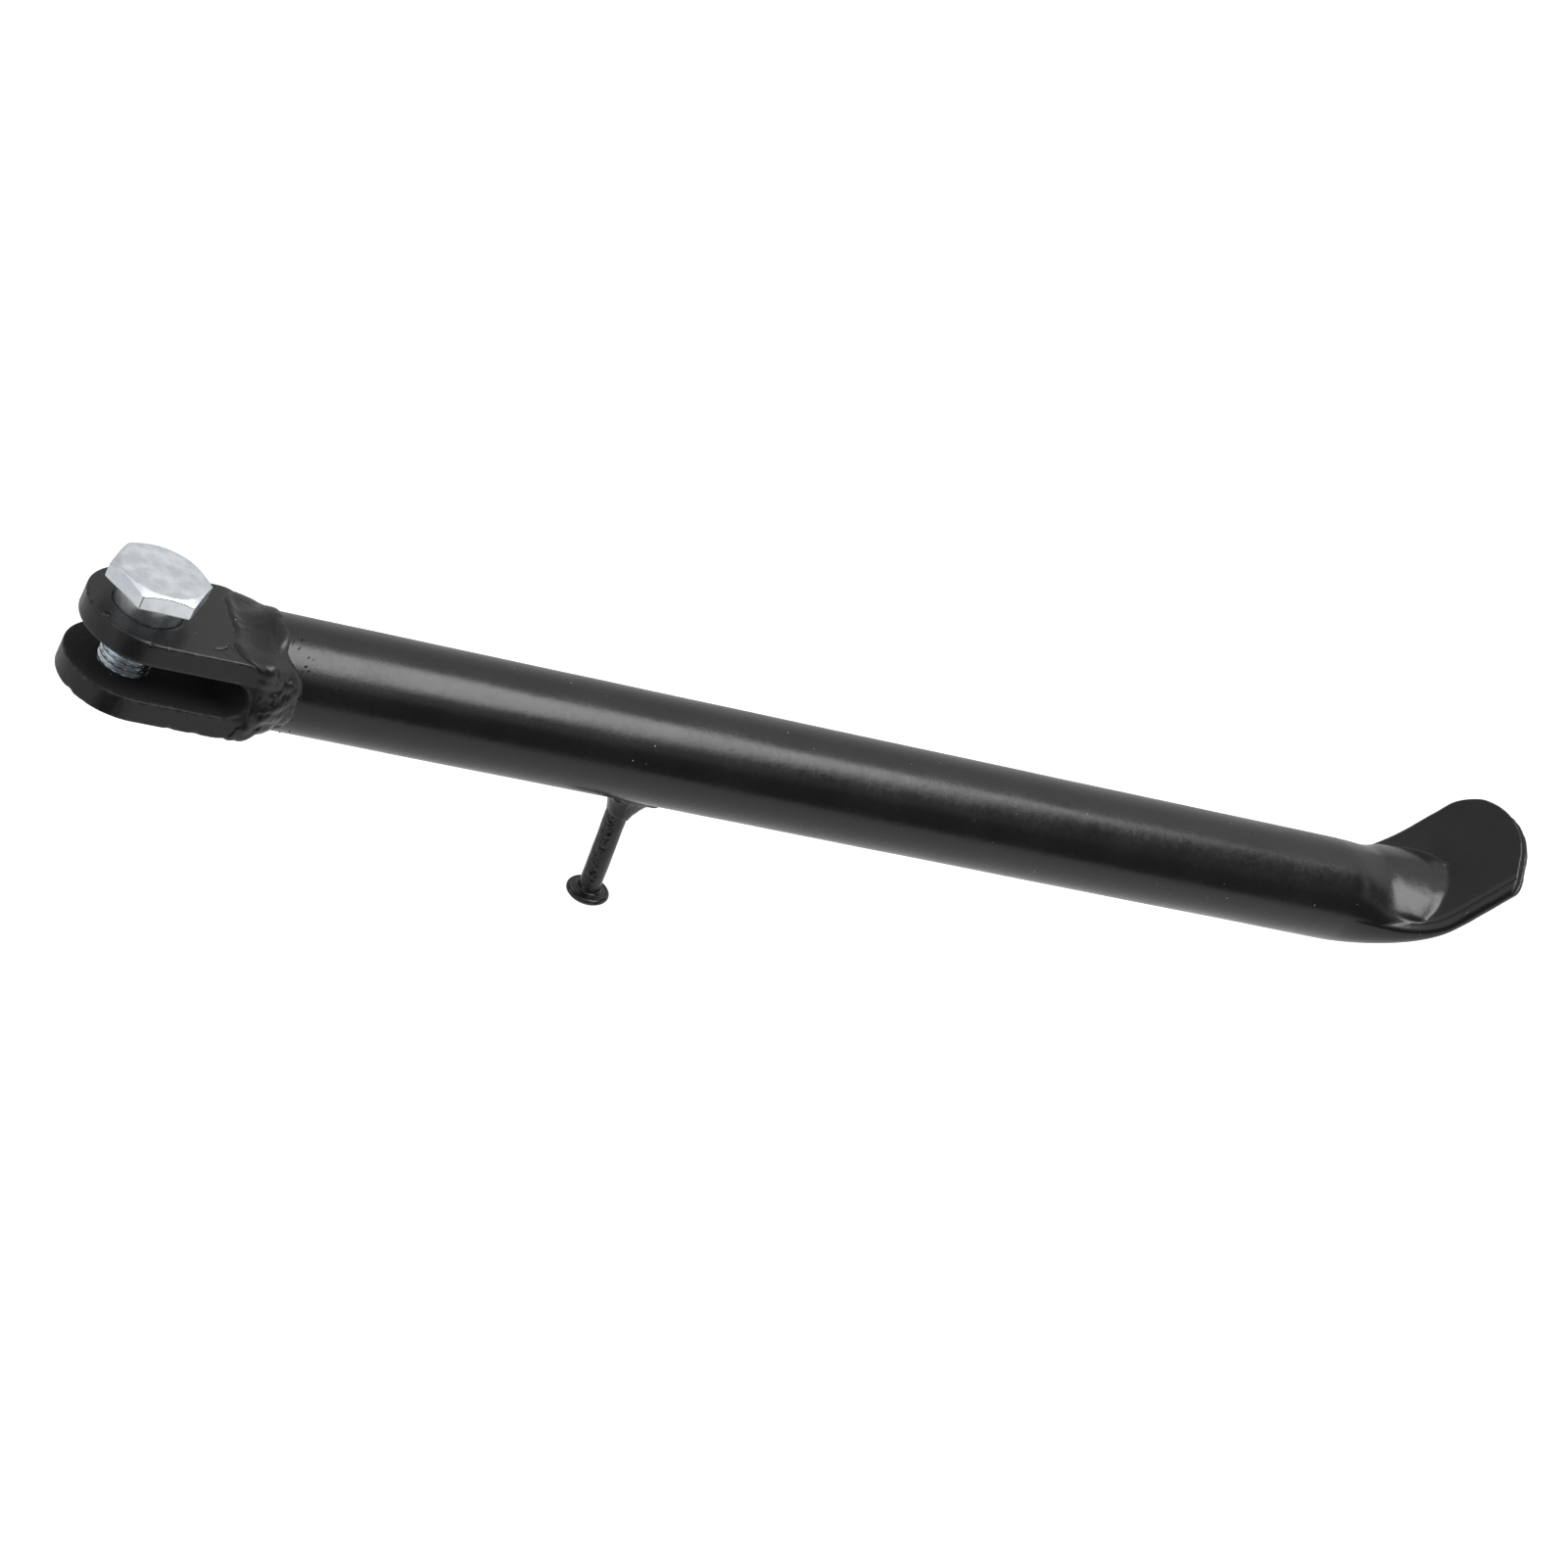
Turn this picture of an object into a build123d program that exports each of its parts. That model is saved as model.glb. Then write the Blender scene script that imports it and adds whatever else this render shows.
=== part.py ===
"""Motorcycle side stand: forked pivot end, tube leg with a flattened foot, spring stud and pivot bolt.

Millimetres. The origin is on the pivot axis, midway between the fork's ears.
+X runs along the leg from the pivot to the foot. +Z runs along the pivot bolt to its head.
"""
from build123d import *
from math import cos, radians, sin, sqrt, tan
import os

os.makedirs("parts", exist_ok=True)

# fork: a thick strap bent into a U
strap_t = 4.7
slot_w = 7.6
ear_r = 12.3
ear_centre_x = 0.9
slot_end_x = 19.9

# pivot bolt
thread_r = 5.0
thread_pitch = 1.25
thread_len = 10.0
shoulder_r = 6.5
hex_flats = 17.0
head_t = 3.6
head_gap = 4.2
head_turn = -1.6
running_gap = 0.06

# leg tube
tube_r = 11.0
wall = 1.5
leg_z = 0.7
tube_start_x = 23.0

# foot: the tube's end, bent and squashed flat
bend_x = 271.3
bend_r = 28.5
bend_angle = 52.5
squash_start = 0.0
squash_len = 22.0
squash_steps = 8
plate_w = 31.5
plate_t = 3.4
plate_shift = -0.6
plate_drop = 2.2
tip_r = 17.3
tip_centre_u = 2.0
tip_shift = 0.3
corner_slack = 0.01

# spring stud, leaning towards the foot
stud_x = 104.7
stud_r = 2.3
stud_lean = 7.2
stud_len = 35.2
stud_head_r = 4.4
stud_head_t = 2.2

# weld beads
bead = 1.0
weld_start_x = 17.0
weld_mid_x = 21.5
weld_end_x = 27.0
stud_weld_long = 8.5
stud_weld_wide = 4.0
stud_weld_h = 5.0

# derived
fork_half = slot_w / 2 + strap_t
fold_x = slot_end_x - slot_w / 2
ear_tip_x = ear_centre_x - ear_r
head_z = fork_half + head_gap
shoulder_len = slot_w + strap_t
thread_top = head_z - shoulder_len
hex_corner_r = hex_flats / sqrt(3)
cone_r = 0.95 * hex_flats / 2
cone_drop = (hex_corner_r + bead - cone_r) * tan(radians(30))
crest_flat = thread_pitch / 8
thread_depth = thread_pitch * 0.6
clear_all = 4 * tube_r

# --- fork -------------------------------------------------------------------------------------
with BuildPart() as fork:
    with BuildSketch(Plane.XZ):
        with Locations(((ear_tip_x + fold_x) / 2, 0)):
            Rectangle(fold_x - ear_tip_x, 2 * fork_half)
        with Locations((fold_x, 0)):
            Circle(fork_half)
            Circle(slot_w / 2, mode=Mode.SUBTRACT)
        with Locations(((ear_tip_x + fold_x) / 2, 0)):
            Rectangle(fold_x - ear_tip_x, slot_w, mode=Mode.SUBTRACT)
    extrude(amount=ear_r, both=True)
    # both ears have round ends
    with BuildSketch(Plane.XY.offset(-fork_half)):
        with Locations((ear_centre_x, 0)):
            Circle(ear_r)
        with Locations((ear_centre_x + clear_all / 2, 0)):
            Rectangle(clear_all, 2 * ear_r)
    extrude(amount=2 * fork_half, mode=Mode.INTERSECT)
    # the upper ear takes the shoulder, the lower ear takes the thread
    with Locations((0, 0, fork_half)):
        Hole(shoulder_r + running_gap, depth=strap_t + slot_w / 2)
    with Locations((0, 0, 0)):
        Hole(thread_r + running_gap, depth=fork_half)
fork.part.label = "fork"
export_step(fork.part, "parts/fork.step")

# --- pivot bolt -------------------------------------------------------------------------------
with BuildPart() as pivot_bolt:
    with BuildSketch(Plane.XY.offset(head_z)):
        RegularPolygon(hex_corner_r, 6, rotation=head_turn)
    extrude(amount=head_t)
    # the head's top corners are turned down to a 30 degree cone
    with BuildSketch(Plane.XZ) as head_profile:
        with BuildLine():
            Polyline(
                (0, head_z),
                (hex_corner_r + bead, head_z),
                (hex_corner_r + bead, head_z + head_t - cone_drop),
                (cone_r, head_z + head_t),
                (0, head_z + head_t),
                close=True,
            )
        make_face()
    revolve(axis=Axis.Z, mode=Mode.INTERSECT)
    # plain shoulder, then the thread as rings at its pitch
    with BuildSketch(Plane.XZ) as shank_profile:
        with BuildLine():
            thread_points = [(0, head_z), (shoulder_r, head_z), (shoulder_r, thread_top)]
            z = thread_top
            while z - thread_pitch > thread_top - thread_len:
                thread_points.append((thread_r - thread_depth, z - crest_flat))
                thread_points.append((thread_r, z - thread_pitch / 2))
                thread_points.append((thread_r, z - thread_pitch / 2 - crest_flat))
                z = z - thread_pitch
            thread_points.append((thread_r - thread_depth, z - crest_flat))
            thread_points.append((thread_r - thread_depth, thread_top - thread_len))
            thread_points.append((0, thread_top - thread_len))
            Polyline(*thread_points, close=True)
        make_face()
    revolve(axis=Axis.Z)
pivot_bolt.part.label = "pivot_bolt"
export_step(pivot_bolt.part, "parts/pivot_bolt.step")

# --- leg tube with its foot -------------------------------------------------------------------
bend_arc = bend_r * radians(bend_angle)


def leg_frame(s):
    """Cross-section plane at length s along the leg's centre line, from the start of the bend."""
    turn = min(max(s, 0), bend_arc) / bend_r
    past = max(s - bend_arc, 0)
    x = bend_x + min(s, 0) + bend_r * sin(turn) + past * cos(turn)
    z = leg_z + bend_r * (1 - cos(turn)) + past * sin(turn)
    return Plane(origin=(x, 0, z), x_dir=(0, 1, 0), z_dir=(cos(turn), 0, sin(turn)))


def leg_section(s, inset):
    """Section of the leg at length s, inset from its outer skin: round, then squashed flat."""
    share = min(max((s - squash_start) / squash_len, 0), 1)
    share = share * share * (3 - 2 * share)
    width = 2 * tube_r + (plate_w - 2 * tube_r) * share - 2 * inset
    depth = 2 * tube_r + (plate_t - 2 * tube_r) * share - 2 * inset
    with BuildSketch(leg_frame(s)) as section:
        with Locations((plate_shift * share, -plate_drop * share)):
            RectangleRounded(width, depth, min(width, depth) / 2 - corner_slack)
    return section.sketch


stations = [squash_start + squash_len * k / squash_steps for k in range(squash_steps + 1)]
stations.append(bend_arc)
straight_len = bend_x + squash_start - tube_start_x
plate_len = tip_centre_u + tip_r + bead

with BuildPart() as leg_tube:
    for inset, mode in ((0, Mode.ADD), (wall, Mode.SUBTRACT)):
        extrude(leg_section(-straight_len, inset), amount=straight_len, dir=(1, 0, 0), mode=mode)
        loft([leg_section(s, inset) for s in stations], mode=mode)
        plate_end = leg_section(bend_arc, inset)
        extrude(plate_end, amount=plate_len, dir=leg_frame(bend_arc).z_dir, mode=mode)
    # the tip is cut to an arc
    plate_plane = Plane(
        origin=leg_frame(bend_arc).origin,
        x_dir=leg_frame(bend_arc).z_dir,
        z_dir=leg_frame(bend_arc).y_dir,
    )
    with BuildSketch(plate_plane):
        with Locations((tip_centre_u + tip_r, 0)):
            Rectangle(2 * tip_r, 4 * tip_r)
        with Locations((tip_centre_u, tip_shift)):
            Circle(tip_r, mode=Mode.SUBTRACT)
    extrude(amount=tube_r, both=True, mode=Mode.SUBTRACT)
    # the butt end is coped to the fork's bend
    with BuildSketch(Plane.XZ):
        with Locations((fold_x, 0)):
            Circle(fork_half)
    extrude(amount=clear_all, both=True, mode=Mode.SUBTRACT)
leg_tube.part.label = "leg_tube"
export_step(leg_tube.part, "parts/leg_tube.step")

# --- weld between fork and tube ---------------------------------------------------------------
with BuildPart() as fork_weld:
    with BuildSketch(Plane.YZ.offset(weld_start_x)):
        RectangleRounded(2 * ear_r - 2 * bead, 2 * fork_half + bead / 2, 2 * bead)
    with BuildSketch(Plane.YZ.offset(weld_mid_x)):
        with Locations((0, leg_z / 2)):
            RectangleRounded(2 * ear_r + bead, 2 * tube_r, 2 * strap_t)
    with BuildSketch(Plane.YZ.offset(weld_end_x)):
        with Locations((0, leg_z)):
            RectangleRounded(2 * tube_r + bead, 2 * tube_r + bead, tube_r)
    loft()
    with BuildSketch(Plane.XZ):
        with Locations((fold_x / 2, 0)):
            Rectangle(fold_x, 2 * fork_half)
        with Locations((fold_x, 0)):
            Circle(fork_half)
    extrude(amount=ear_r, both=True, mode=Mode.SUBTRACT)
    with BuildSketch(Plane.XZ):
        with Locations((fold_x, 0)):
            Circle(slot_w / 2)
    extrude(amount=clear_all, both=True, mode=Mode.SUBTRACT)
    extrude(leg_section(-straight_len, 0), amount=straight_len, dir=(1, 0, 0), mode=Mode.SUBTRACT)
fork_weld.part.label = "fork_weld"
export_step(fork_weld.part, "parts/fork_weld.step")

# --- spring stud and its weld -----------------------------------------------------------------
stud_turn = radians(stud_lean)
stud_plane = Plane(
    origin=(stud_x, 0, leg_z),
    x_dir=(cos(stud_turn), 0, sin(stud_turn)),
    z_dir=(sin(stud_turn), 0, -cos(stud_turn)),
)

with BuildPart() as spring_stud:
    with BuildSketch(stud_plane):
        Circle(stud_r)
    extrude(amount=stud_len)
    # button head, domed on its far side
    with BuildSketch(stud_plane.offset(stud_len)):
        Circle(stud_head_r)
    extrude(amount=stud_head_t)
    stud_axis = Axis(stud_plane.origin, stud_plane.z_dir)
    fillet(spring_stud.edges().group_by(stud_axis)[-1], stud_head_t * 0.8)
    extrude(leg_section(-straight_len, 0), amount=straight_len, dir=(1, 0, 0), mode=Mode.SUBTRACT)
spring_stud.part.label = "spring_stud"
export_step(spring_stud.part, "parts/spring_stud.step")

with BuildPart() as stud_weld:
    with BuildSketch(stud_plane.offset(tube_r - bead)):
        Ellipse(stud_weld_long, stud_weld_wide)
    with BuildSketch(stud_plane.offset(tube_r + stud_weld_h)):
        Circle(stud_r + bead / 2)
    loft()
    with BuildSketch(stud_plane):
        Circle(stud_r)
    extrude(amount=stud_len, mode=Mode.SUBTRACT)
    extrude(leg_section(-straight_len, 0), amount=straight_len, dir=(1, 0, 0), mode=Mode.SUBTRACT)
stud_weld.part.label = "stud_weld"
export_step(stud_weld.part, "parts/stud_weld.step")
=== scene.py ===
"""Motorcycle side stand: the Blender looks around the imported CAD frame.

Every mesh is worked out in millimetres in the row frame (pivot axis = Z, leg along +X, bolt head up)
and scaled to metres when it is written. Driving sizes come from the boxes of the CAD nodes.
"""

import math

import bmesh
import bpy
import numpy as np
from mathutils import Matrix, Vector, noise


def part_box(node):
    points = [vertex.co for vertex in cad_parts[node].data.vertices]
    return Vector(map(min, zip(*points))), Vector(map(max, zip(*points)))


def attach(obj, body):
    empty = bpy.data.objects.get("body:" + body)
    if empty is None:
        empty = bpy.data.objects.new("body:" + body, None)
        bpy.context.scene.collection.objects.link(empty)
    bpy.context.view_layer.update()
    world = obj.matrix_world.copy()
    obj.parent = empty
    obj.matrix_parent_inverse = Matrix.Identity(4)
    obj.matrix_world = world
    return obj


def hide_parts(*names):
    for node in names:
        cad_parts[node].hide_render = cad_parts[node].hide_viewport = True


MM = 0.001


# ---------------------------------------------------------------- frame sizes, in mm
def node_box(node):
    low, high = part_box(node)
    return np.array(low) / MM, np.array(high) / MM


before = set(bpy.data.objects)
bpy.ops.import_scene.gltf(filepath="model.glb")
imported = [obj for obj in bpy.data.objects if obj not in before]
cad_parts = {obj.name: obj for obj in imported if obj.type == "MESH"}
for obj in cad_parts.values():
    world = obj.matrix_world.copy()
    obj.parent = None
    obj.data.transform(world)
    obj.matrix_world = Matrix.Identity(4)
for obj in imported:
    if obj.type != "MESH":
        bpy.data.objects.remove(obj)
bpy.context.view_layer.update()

fork_low, fork_high = node_box("fork")
leg_low, leg_high = node_box("leg_tube")
bolt_low, bolt_high = node_box("pivot_bolt")

# fork: a strap folded into a U, ears at each side of a slot
EAR_R = fork_high[1]
FORK_HALF = fork_high[2]
EAR_X = fork_low[0] + EAR_R
FOLD_X = fork_high[0] - FORK_HALF
STRAP_T = 4.7
SLOT_R = FORK_HALF - STRAP_T
UPPER_HOLE_R = 6.58
LOWER_HOLE_R = 5.10
EDGE_R = 0.42  # rounding of the strap's edges
EDGE_STEPS = 5
SEAM = 40  # points across the strap where an ear meets the fold
FORK_NICKS = (
    # (place, radius, depth)
    ((-8.9, -5.3, 8.5), 0.8, 0.28),
    ((-1.7, -12.0, 8.5), 0.7, 0.25),
    ((1.8, -12.3, 8.5), 0.6, 0.20),
    ((7.0, -12.3, 8.5), 0.5, 0.15),
    ((12.8, -11.2, 8.5), 0.8, 0.12),
    ((-9.5, -5.6, -8.5), 1.4, 0.22),
    ((-7.2, -8.2, -8.5), 1.0, 0.20),
    ((8.0, -12.3, -8.5), 1.2, 0.14),
    ((13.0, -12.3, -8.5), 1.4, 0.15),
)

# leg: a tube, bent and squashed into a foot plate
TUBE_R = 11.0
LEG_Z = leg_low[2] + TUBE_R
TUBE_START = leg_low[0]
BEND_X = 271.3
BEND_R = 28.5
BEND_ANGLE = math.radians(52.5)
BEND_LEN = BEND_R * BEND_ANGLE
PLATE_HALF_W = leg_high[1] + 0.6
PLATE_HALF_T = 1.7
PLATE_DROP = 2.2
PLATE_SHIFT = -0.6
SQUASH_LEN = 22.0
TIP_R = 17.3
TIP_U = 1.9
TIP_SHIFT = 0.3

# the bulge where the tube closes into the plate; s is mm past the start of the bend
HUMP_END_START = 15.0
HUMP_END_LEN = 13.0
HUMP_WIDEN = 2.7
GROOVE_IN = 2.4  # the groove's distance from the plate's near edge
GROOVE_DEPTH = 0.38
DIP_DEPTH = 0.55

# bolt
HEAD_TOP = bolt_high[2]
HEAD_T = 3.6
HEAD_LOW = HEAD_TOP - HEAD_T
THREAD_LOW = bolt_low[2]
THREAD_TOP = 0.4
THREAD_R = 5.0
THREAD_PITCH = 1.25
THREAD_DEPTH = 0.72
SHOULDER_R = 6.5
HEX_APOTHEM = 8.5
HEX_TURN = math.radians(-1.6)

# spring stud
STUD_X = 104.7
STUD_R = 2.3
STUD_LEAN = math.radians(7.2)
STUD_LEN = 35.2
STUD_HEAD_R = 4.4
STUD_HEAD_T = 2.15


# ---------------------------------------------------------------- small helpers
def smooth(t):
    t = np.clip(t, 0.0, 1.0)
    return t * t * (3 - 2 * t)


def ramp(x, low, high):
    """0 below low, 1 above high, smooth between."""
    return smooth((np.asarray(x, float) - low) / (high - low))


def hill(x, centre, width):
    return np.exp(-(((np.asarray(x, float) - centre) / width) ** 2))


def wobble(points, size, seed, octaves=2):
    """Smooth noise of about +-1 at each point (mm); features are about size mm (one number or three)."""
    scaled = np.asarray(points, float).reshape(-1, 3) / np.asarray(size, float)
    offset = Vector((seed * 17.3, seed * 5.1, seed * 9.7))
    values = [
        noise.fractal(Vector(p) + offset, 1.0, 2.0, octaves) for p in scaled
    ]
    return np.array(values).reshape(np.asarray(points).shape[:-1])


def dent(points, centre, radius):
    """Weight from 1 at centre to 0 at radius."""
    d = np.linalg.norm(points - np.array(centre, float), axis=-1) / radius
    return np.clip(1 - d * d, 0, 1) ** 2


def make_mesh(name, grids, attributes=(), merge=0.002, sharp=None):
    """Joins grids of (points, faces) into one mesh object. points are mm arrays of shape (n, 3)."""
    points, faces, start = [], [], 0
    for grid_points, grid_faces in grids:
        flat = np.asarray(grid_points, float).reshape(-1, 3)
        points.append(flat)
        faces += [tuple(i + start for i in f) for f in grid_faces]
        start += len(flat)
    mesh = bpy.data.meshes.new(name)
    mesh.from_pydata((np.concatenate(points) * MM).tolist(), [], faces)
    for label, values in attributes:
        layer = mesh.attributes.new(label, "FLOAT", "POINT")
        layer.data.foreach_set("value", np.asarray(values, np.float32).ravel())
    bm = bmesh.new()
    bm.from_mesh(mesh)
    bmesh.ops.remove_doubles(bm, verts=bm.verts, dist=merge * MM)
    bmesh.ops.dissolve_degenerate(bm, edges=bm.edges, dist=1e-7)
    bmesh.ops.recalc_face_normals(bm, faces=bm.faces)
    bm.to_mesh(mesh)
    bm.free()
    mesh.shade_smooth()
    if sharp:
        mesh.set_sharp_from_angle(angle=math.radians(sharp))
    obj = bpy.data.objects.new(name, mesh)
    bpy.context.scene.collection.objects.link(obj)
    return obj


def ring_faces(rows, columns, closed=True, keep=None):
    """Quads between rows of points; keep(column) says which column steps have faces."""
    faces = []
    steps = columns if closed else columns - 1
    for i in range(rows - 1):
        for j in range(steps):
            if keep is None or keep(j):
                k = (j + 1) % columns
                a, b = i * columns, (i + 1) * columns
                faces.append((a + j, a + k, b + k, b + j))
    return faces


def cap_faces(row, columns, flip=False):
    ring = list(range(row * columns, (row + 1) * columns))
    return [tuple(reversed(ring)) if flip else tuple(ring)]


def place(obj, body, node, material):
    obj.data.materials.append(material)
    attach(obj, body)
    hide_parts(node)
    return obj


# ---------------------------------------------------------------- leg
def leg_frame(s):
    """Origin, tangent and normal of the centre line at s mm past the start of the bend (arrays)."""
    t = np.clip(s, 0, BEND_LEN) / BEND_R
    past = np.clip(s - BEND_LEN, 0, None)
    before = np.clip(s, None, 0)
    zero = np.zeros_like(t)
    tangent = np.stack([np.cos(t), zero, np.sin(t)], -1)
    normal = np.stack([-np.sin(t), zero, np.cos(t)], -1)
    origin = np.stack(
        [BEND_X + BEND_R * np.sin(t), zero, LEG_Z + BEND_R * (1 - np.cos(t))], -1
    )
    return origin + tangent * past[..., None] + tangent * before[..., None], tangent, normal


def soft_max(a, b, width):
    """The larger of a and b, rounded where they meet."""
    h = np.clip(0.5 + 0.5 * (b - a) / width, 0, 1)
    return a + (b - a) * h + width * h * (1 - h)


def upper_wall(s):
    """Height above the centre line of the middle of the upper wall, in the bend.

    The wall runs nearly straight on while the centre line bends up, until it meets the flat plate.
    """
    t = np.clip(s, 0, BEND_LEN) / BEND_R
    past = np.clip(s - BEND_LEN, 0, None)
    line_x = BEND_X + BEND_R * np.sin(t) + past * np.cos(t)
    line_z = BEND_R * (1 - np.cos(t)) + past * np.sin(t)
    h = np.full_like(t, TUBE_R)
    for _ in range(8):
        x = line_x - np.sin(t) * h
        sag = 0.9 * ramp(x, 262, 281)
        rise = 0.14 * (x - 280.5) * ramp(x, 279, 283)
        h = 0.5 * h + 0.5 * (TUBE_R - sag + rise - line_z) / np.cos(t)
    return h


def leg_skin(s, theta):
    """Across, up and edge distance of the leg's skin, s along the centre line and theta round it."""
    share = smooth(s / SQUASH_LEN)
    half_w = TUBE_R + (PLATE_HALF_W - TUBE_R) * share
    half_t = TUBE_R + (PLATE_HALF_T - TUBE_R) * share
    drop = -PLATE_DROP * share
    y = half_w * np.cos(theta)
    edge = half_w - np.abs(y)

    def rounded(thick):
        return thick * np.sqrt(np.clip(1 - (1 - np.clip(edge / thick, 0, 1)) ** 2, 0, 1))

    low = drop - rounded(half_t)
    flange = drop + rounded(np.full_like(half_t, PLATE_HALF_T))
    # the crest leans to the far side, and the near flank is nearly flat
    closing = np.clip(1 - (np.clip(s - HUMP_END_START, 0, None) / HUMP_END_LEN) ** 2, 1e-4, 1) ** 0.7
    hump_w = (TUBE_R + HUMP_WIDEN * smooth(s / 18.0)) * closing
    crest = 1.2 * ramp(s, 2, 17) * closing
    q = np.abs(y - crest) / np.where(y < crest, hump_w + crest, hump_w - crest)
    power = np.where(y < crest, 2.0 - 0.5 * ramp(s, 3, 13), 2.0 - 0.35 * ramp(s, 3, 13))
    hump = drop + (upper_wall(s) - drop) * np.clip(1 - np.clip(q, 0, 1) ** power, 0, 1) ** (1 / power)
    middle = np.clip(1 - (y / 12.0) ** 2, 0, 1)
    bent = ramp(s, 0.5, 6.0)
    high = soft_max(flange, hump, (0.45 + 2.1 * middle) * bent + 1e-3)
    dip = DIP_DEPTH * middle * hill(s, BEND_LEN + 1.0, 2.6)
    groove = GROOVE_DEPTH * hill(edge, GROOVE_IN, 0.45) * ramp(s, 10, 16) * (y < 0)
    high = np.minimum(high, hump + 20) - dip - groove
    z = np.where(np.sin(theta) >= 0, high, low)
    far = np.where(y > 0, 1 - 0.045 * share, 1.0)
    return y * far + PLATE_SHIFT * share, z, edge


def tip_end(y):
    """Where the foot plate's cut is, in mm past the start of the bend."""
    across = np.clip(TIP_R**2 - (y - TIP_SHIFT) ** 2, 0, None)
    far_corner = 3.2 * np.clip((y - 9.0) / 5.5, 0, None) ** 2
    near_corner = 3.3 * np.clip((-y - 10.0) / 6.35, 0, None) ** 2
    return BEND_LEN + TIP_U + np.sqrt(across) - far_corner + near_corner


def leg_piece(material):
    columns = 288
    theta = np.arange(columns) / columns * 2 * math.pi
    straight = np.linspace(TUBE_START - BEND_X, 0, 150)
    bend = np.linspace(0, BEND_LEN, 84)[1:]
    plate_t = np.linspace(0, 1, 44)[1:]
    rings = []
    for s in np.concatenate([straight, bend]):
        rings.append((np.full(columns, s), theta))
    s_end = tip_end(leg_skin(np.full(columns, BEND_LEN + 5.0), theta)[0])
    for t in plate_t:
        rings.append((BEND_LEN + (s_end - BEND_LEN) * t, theta))
    s = np.array([r[0] for r in rings])
    angle = np.array([r[1] for r in rings])
    y, z, _ = leg_skin(s, angle)
    # the cut end: rounded upper edge, two walls with a seam between them
    rim = []
    last_s, last_y, last_z = s[-1], y[-1], z[-1]
    mid = -PLATE_DROP
    upper = np.sin(theta) >= 0
    for pull, out, layer in (
        (0.10, 0.12, 0.0),
        (0.30, 0.16, 0.0),
        (0.60, 0.17, 0.3),
        (0.80, 0.12, 0.7),
        (0.90, -0.10, 1.0),
        (0.94, -0.70, 1.0),
    ):
        rough = wobble(
            np.stack([last_s, last_y, last_z * 0.3 + layer], -1), (1.6, 1.6, 1.0), 3, 3
        )
        stagger = np.where(upper, -0.35, 0.35)
        rim_s = last_s + out + 0.16 * rough * min(1.0, pull * 2) + stagger * min(1.0, pull * 3)
        rim.append((rim_s, last_y, last_z + (mid - last_z) * pull))
    s = np.concatenate([s, [r[0] for r in rim]])
    y = np.concatenate([y, [r[1] for r in rim]])
    z = np.concatenate([z, [r[2] for r in rim]])
    origin, _, normal = leg_frame(s)
    points = origin + normal * z[..., None]
    points[..., 1] += y
    waves = wobble(points, (26, 9, 9), 5, 2)
    flat = ramp(s, 14, 26)
    pits = wobble(points, 3.2, 6, 2)
    radial = normal * np.where(np.sin(theta) >= 0, 1.0, -1.0)[None, :, None]
    points += radial * (0.05 * waves + 0.05 * flat * pits)[..., None]
    rows = len(points)
    faces = ring_faces(rows, columns) + cap_faces(0, columns, True)
    last = (rows - 1) * columns
    half = columns // 2
    for j in range(half):
        a, b = j, j + 1
        c, d = (columns - b) % columns, (columns - a) % columns
        quad = (last + a, last + b, last + c, last + d)
        faces.append(tuple(dict.fromkeys(quad)))
    wear = np.zeros(points.shape[:2])
    wear[-len(rim) - 1 : -len(rim) + 2, : half + 1] = 1.0
    wear[-len(rim) + 2 : -2] = 0.35
    obj = make_mesh("leg_skin", [(points, faces)], [("wear", wear)])
    return place(obj, "leg", "leg_tube", material)


# ---------------------------------------------------------------- fork
def ear_outline(inset):
    """Closed loop round an ear, as (x, y); the first SEAM points lie on the line where the fold starts."""
    r = EAR_R - inset
    seam = [(FOLD_X, r * t) for t in np.linspace(-1, 1, SEAM)]
    far = [(x, r) for x in np.linspace(FOLD_X, EAR_X, 36)][1:]
    turn = np.linspace(math.pi / 2, math.pi * 1.5, 112)[1:]
    tip = [(EAR_X + r * math.cos(a), r * math.sin(a)) for a in turn]
    near = [(x, -r) for x in np.linspace(EAR_X, FOLD_X, 36)][1:-1]
    return np.array(seam + far + tip + near)


def strap_edge():
    """(inset, depth, side weight, wear) down the strap's side from the outer face to the inner one."""
    steps = []
    for b in np.linspace(0, math.pi / 2, EDGE_STEPS):
        steps.append((EDGE_R * (1 - math.sin(b)), EDGE_R * (1 - math.cos(b)), math.sin(b), 1.0))
    for d in np.linspace(EDGE_R, STRAP_T - EDGE_R, 10)[1:-1]:
        steps.append((0.0, d, 1.0, 0.0))
    for b in np.linspace(math.pi / 2, 0, EDGE_STEPS):
        steps.append(
            (EDGE_R * (1 - math.sin(b)), STRAP_T - EDGE_R * (1 - math.cos(b)), math.sin(b), 1.0)
        )
    return steps


def off_seam(column):
    """True for the columns of an ear's outline that aren't on the fold's line."""
    return column >= SEAM - 1


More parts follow.
